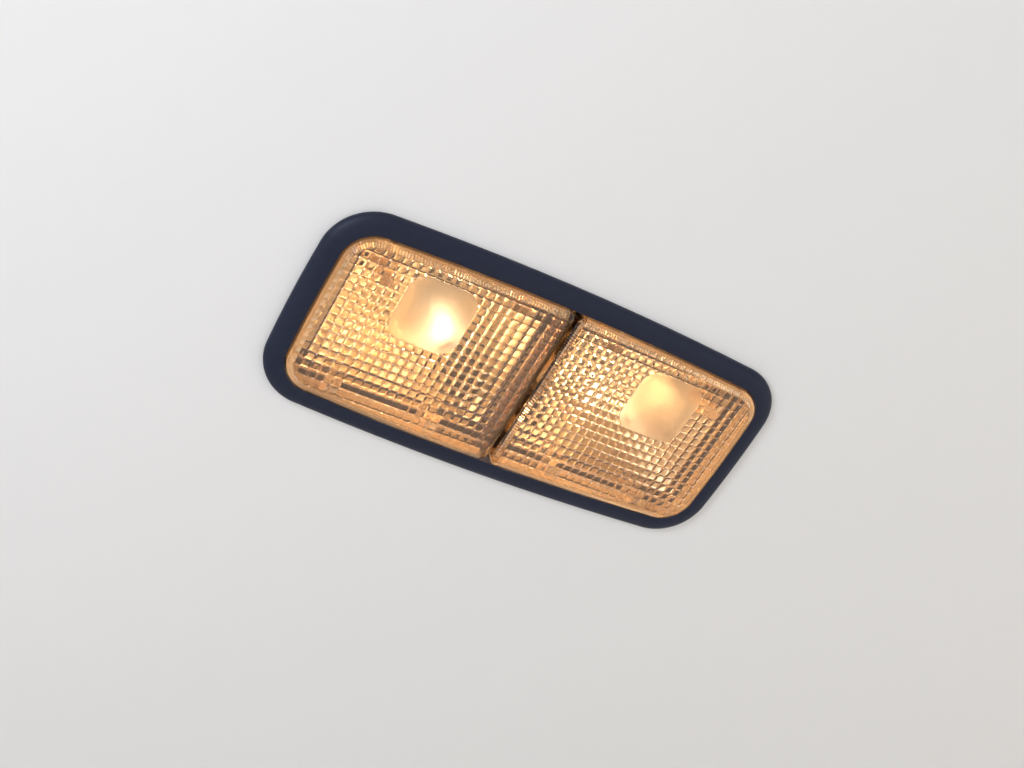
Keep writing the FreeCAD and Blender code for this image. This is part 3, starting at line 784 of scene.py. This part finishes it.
def coil_spring(side, material):
    """Return spring of a switch, copied from the CAD spring and shaded smooth, riding with the housing."""
    node = f"switch_spring_{side}"
    crease_degrees = 40
    bm = bmesh.new()
    bm.from_mesh(NODES[node].data)
    bmesh.ops.remove_doubles(bm, verts=bm.verts, dist=MERGE)
    for face in bm.faces:
        face.material_index = 0
    mark_sharp(bm, crease_degrees)
    piece = object_from(bm, f"coil_spring_{side}")
    piece.data.materials.append(material)
    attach(piece, "housing")
    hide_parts(node)
    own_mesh(piece)


class MAPLIGHT_OT_switches(bpy.types.Operator):
    """Finishes the push switches and makes their springs"""

    bl_idname = "maplight.switches"
    bl_label = "Switches"

    def execute(self, context):
        colours = context.scene.map_light_colours
        black = grained_plastic(
            "black acetal", colours.switch, grain_mm=0.5, bump_mm=0.03, roughness=0.4, spread=0.06
        )
        natural = grained_plastic(
            "natural acetal", colours.plunger, grain_mm=0.7, bump_mm=0.02, roughness=0.35, spread=0.05
        )
        wire = metal("drawn spring wire", colours.steel, streak_mm=0.2, roughness=0.25, spread=0.06)
        dress(both("switch_body"), black)
        dress(both("switch_plunger"), natural)
        for side in SIDES:
            coil_spring(side, wire)
        return {"FINISHED"}


class MAPLIGHT_OT_wiring(bpy.types.Operator):
    """Finishes the current strips and the connector"""

    bl_idname = "maplight.wiring"
    bl_label = "Strips and connector"

    def execute(self, context):
        colours = context.scene.map_light_colours
        strips = ["feed_strip", "ground_strip", "connector_pins"] + both("switched_strip")
        brass = metal("rolled brass strip", colours.brass, streak_mm=0.3, roughness=0.28, spread=0.08)
        nylon = grained_plastic(
            "natural nylon", colours.connector, grain_mm=0.7, bump_mm=0.03, roughness=0.4, spread=0.06
        )
        dress(strips, brass)
        dress(["connector_shell"], nylon)
        return {"FINISHED"}


class MAPLIGHT_OT_fixings(bpy.types.Operator):
    """Finishes the spring clips and screws"""

    bl_idname = "maplight.fixings"
    bl_label = "Clips and screws"

    def execute(self, context):
        colours = context.scene.map_light_colours
        steel = metal("rolled spring steel", colours.steel, streak_mm=0.35, roughness=0.36, spread=0.08)
        zinc = metal("zinc plate", colours.zinc, streak_mm=0.4, roughness=0.3, spread=0.1)
        dress(["spring_clips"], steel)
        dress(["case_screws"], zinc)
        return {"FINISHED"}


# Stage
def pale_panel(colour_value):
    """Pale paper-like sheet that shows only from its front."""
    material = new_material("pale backing sheet", Base_Color=opaque(colour_value), Roughness=0.9)
    tree, shader = nodes_of(material)
    side = add_node(tree, "ShaderNodeNewGeometry")
    clear = add_node(tree, "ShaderNodeBsdfTransparent")
    mix = add_node(tree, "ShaderNodeMixShader", {"Fac": side.outputs["Backfacing"]})
    tree.links.new(shader.outputs["BSDF"], mix.inputs[1])
    tree.links.new(clear.outputs["BSDF"], mix.inputs[2])
    tree.links.new(mix.outputs["Shader"], tree.nodes["Material Output"].inputs["Surface"])
    return material


def backing_panel(material):
    """Sheet in the roof plane, open where the light goes through it.

    The opening's coarse corners lie behind the bezel.
    """
    reach = 0.4
    height = 0.2 * MM
    corner = 14 * MM
    hole_x = BEZEL_HIGH.x - 2.5 * MM
    hole_y = BEZEL_HIGH.y - 3.2 * MM
    middle = (0, 0)
    bm = bmesh.new()
    inner = add_loop(bm, rounded_rectangle(middle, hole_x, hole_y, corner, False), height)
    outer = add_loop(bm, rounded_rectangle(middle, reach, reach, corner, False), height)
    bmesh.ops.bridge_loops(bm, edges=inner + outer)
    for face in bm.faces:
        face.normal_update()
        if face.normal.z > 0:
            face.normal_flip()
    panel = object_from(bm, "backing_panel")
    panel.data.materials.append(material)


def floor_sheet(material):
    """Pale floor far below the roof plane, wide enough to fill any view."""
    reach = 30.0
    depth = 0.45
    bm = bmesh.new()
    bmesh.ops.create_grid(bm, x_segments=1, y_segments=1, size=reach)
    bmesh.ops.translate(bm, verts=bm.verts, vec=(0, 0, -depth))
    floor = object_from(bm, "floor")
    floor.data.materials.append(material)


def soft_lamp(name, place, size, watts, tint):
    """Round soft lamp that aims at the light's origin and isn't seen itself."""
    data = bpy.data.lights.new(name, "AREA")
    data.shape = "DISK"
    data.size = size
    data.energy = watts
    data.color = linear(tint)
    lamp = new_object(name, data)
    lamp.location = place
    lamp.rotation_euler = (-Vector(place)).to_track_quat("-Z", "Y").to_euler()
    lamp.visible_camera = False


def bulb_lamps(stage, glow):
    """The light of both bulbs."""
    middle = (FILAMENT_LOW + FILAMENT_HIGH) / 2
    for side, sign in (("left", -1), ("right", 1)):
        data = bpy.data.lights.new(f"bulb_light_{side}", "POINT")
        data.energy = stage.bulb_power
        data.color = glow
        data.shadow_soft_size = stage.bulb_radius
        lamp = new_object(f"bulb_light_{side}", data)
        lamp.location = (sign * middle.x, middle.y + stage.bulb_shift, FILAMENT_LOW.z)


def pale_world():
    """Even light, and a pale backdrop that the camera, metal and glass see."""
    world = bpy.data.worlds.new("studio")
    world.use_nodes = True
    tree = world.node_tree
    tree.nodes.clear()
    rays = add_node(tree, "ShaderNodeLightPath")
    mirrored = add_node(
        tree,
        "ShaderNodeMath",
        {0: rays.outputs["Is Camera Ray"], 1: rays.outputs["Is Glossy Ray"]},
        operation="MAXIMUM",
    )
    seen = add_node(
        tree,
        "ShaderNodeMath",
        {0: mirrored.outputs["Value"], 1: rays.outputs["Is Transmission Ray"]},
        operation="MAXIMUM",
    )
    light = add_node(
        tree, "ShaderNodeBackground", {"Color": opaque(linear("#f4f5f8")), "Strength": 0.8}
    )
    backdrop = add_node(
        tree, "ShaderNodeBackground", {"Color": opaque(linear("#f1f0ee")), "Strength": 0.9}
    )
    mix = add_node(tree, "ShaderNodeMixShader", {"Fac": seen.outputs["Value"]})
    tree.links.new(light.outputs["Background"], mix.inputs[1])
    tree.links.new(backdrop.outputs["Background"], mix.inputs[2])
    output = add_node(tree, "ShaderNodeOutputWorld")
    tree.links.new(mix.outputs["Shader"], output.inputs["Surface"])
    bpy.context.scene.world = world


def photo_camera(stage):
    """Camera below the light, looking up at it."""
    back = Vector(
        (
            math.sin(stage.azimuth) * math.cos(stage.elevation),
            -math.cos(stage.azimuth) * math.cos(stage.elevation),
            math.sin(stage.elevation),
        )
    )
    place = back * stage.distance
    right = (-back).cross(Vector((0, 0, 1))).normalized()
    up = right.cross(-back)
    turned = right * math.cos(stage.roll) + up * math.sin(stage.roll)
    back = (place + turned * stage.aside).normalized()
    right = (turned - back * turned.dot(back)).normalized()
    up = back.cross(right)
    data = bpy.data.cameras.new("camera")
    data.sensor_fit = "HORIZONTAL"
    data.sensor_width = 36.0
    data.lens = stage.focal
    data.clip_start = 0.01
    camera = new_object("camera", data)
    axes = Matrix((right, up, back)).transposed().to_4x4()
    camera.matrix_world = Matrix.Translation(place) @ axes
    bpy.context.scene.camera = camera


class MAPLIGHT_OT_stage(bpy.types.Operator):
    """Sets the camera, lamps, world, floor and backing panel"""

    bl_idname = "maplight.stage"
    bl_label = "Stage"

    def execute(self, context):
        scene = context.scene
        stage = scene.map_light_stage
        scene.view_settings.view_transform = "Standard"
        sheet = pale_panel(scene.map_light_colours.floor)
        backing_panel(sheet)
        floor_sheet(sheet)
        bulb_lamps(stage, scene.map_light_colours.glow)
        soft_lamp("key", (-0.55, -0.25, -0.40), size=0.35, watts=stage.key_power, tint="#e6edff")
        soft_lamp("fill", (0.45, -0.15, -0.42), size=0.5, watts=stage.fill_power, tint="#fff6ea")
        soft_lamp("top", (0.3, -0.5, 0.7), size=0.5, watts=stage.top_power, tint="#ffffff")
        pale_world()
        photo_camera(stage)
        return {"FINISHED"}


class MAPLIGHT_PT_panel(bpy.types.Panel):
    """Buttons for every piece, and the sizes and colours"""

    bl_label = "Twin map light"
    bl_idname = "MAPLIGHT_PT_panel"
    bl_space_type = "VIEW_3D"
    bl_region_type = "UI"
    bl_category = "Map Light"

    def draw(self, context):
        for operator in OPERATORS:
            self.layout.operator(operator.bl_idname)
        for group in (
            context.scene.map_light_lens,
            context.scene.map_light_colours,
            context.scene.map_light_stage,
        ):
            column = self.layout.box().column()
            for name in group.__annotations__:
                column.prop(group, name)


GROUPS = {
    "map_light_lens": MapLightLens,
    "map_light_colours": MapLightColours,
    "map_light_stage": MapLightStage,
}
OPERATORS = (
    MAPLIGHT_OT_lenses,
    MAPLIGHT_OT_bezel,
    MAPLIGHT_OT_case,
    MAPLIGHT_OT_reflectors,
    MAPLIGHT_OT_bulbs,
    MAPLIGHT_OT_switches,
    MAPLIGHT_OT_wiring,
    MAPLIGHT_OT_fixings,
    MAPLIGHT_OT_stage,
)


def register():
    for name, group in GROUPS.items():
        bpy.utils.register_class(group)
        setattr(bpy.types.Scene, name, bpy.props.PointerProperty(type=group))
    for item in (*OPERATORS, MAPLIGHT_PT_panel):
        bpy.utils.register_class(item)


def unregister():
    for item in reversed((*OPERATORS, MAPLIGHT_PT_panel)):
        bpy.utils.unregister_class(item)
    for name, group in GROUPS.items():
        delattr(bpy.types.Scene, name)
        bpy.utils.unregister_class(group)


def main():
    """Builds every piece and the stage."""
    register()
    bpy.ops.maplight.lenses()
    bpy.ops.maplight.bezel()
    bpy.ops.maplight.case()
    bpy.ops.maplight.reflectors()
    bpy.ops.maplight.bulbs()
    bpy.ops.maplight.switches()
    bpy.ops.maplight.wiring()
    bpy.ops.maplight.fixings()
    bpy.ops.maplight.stage()


if __name__ == "__main__":
    main()
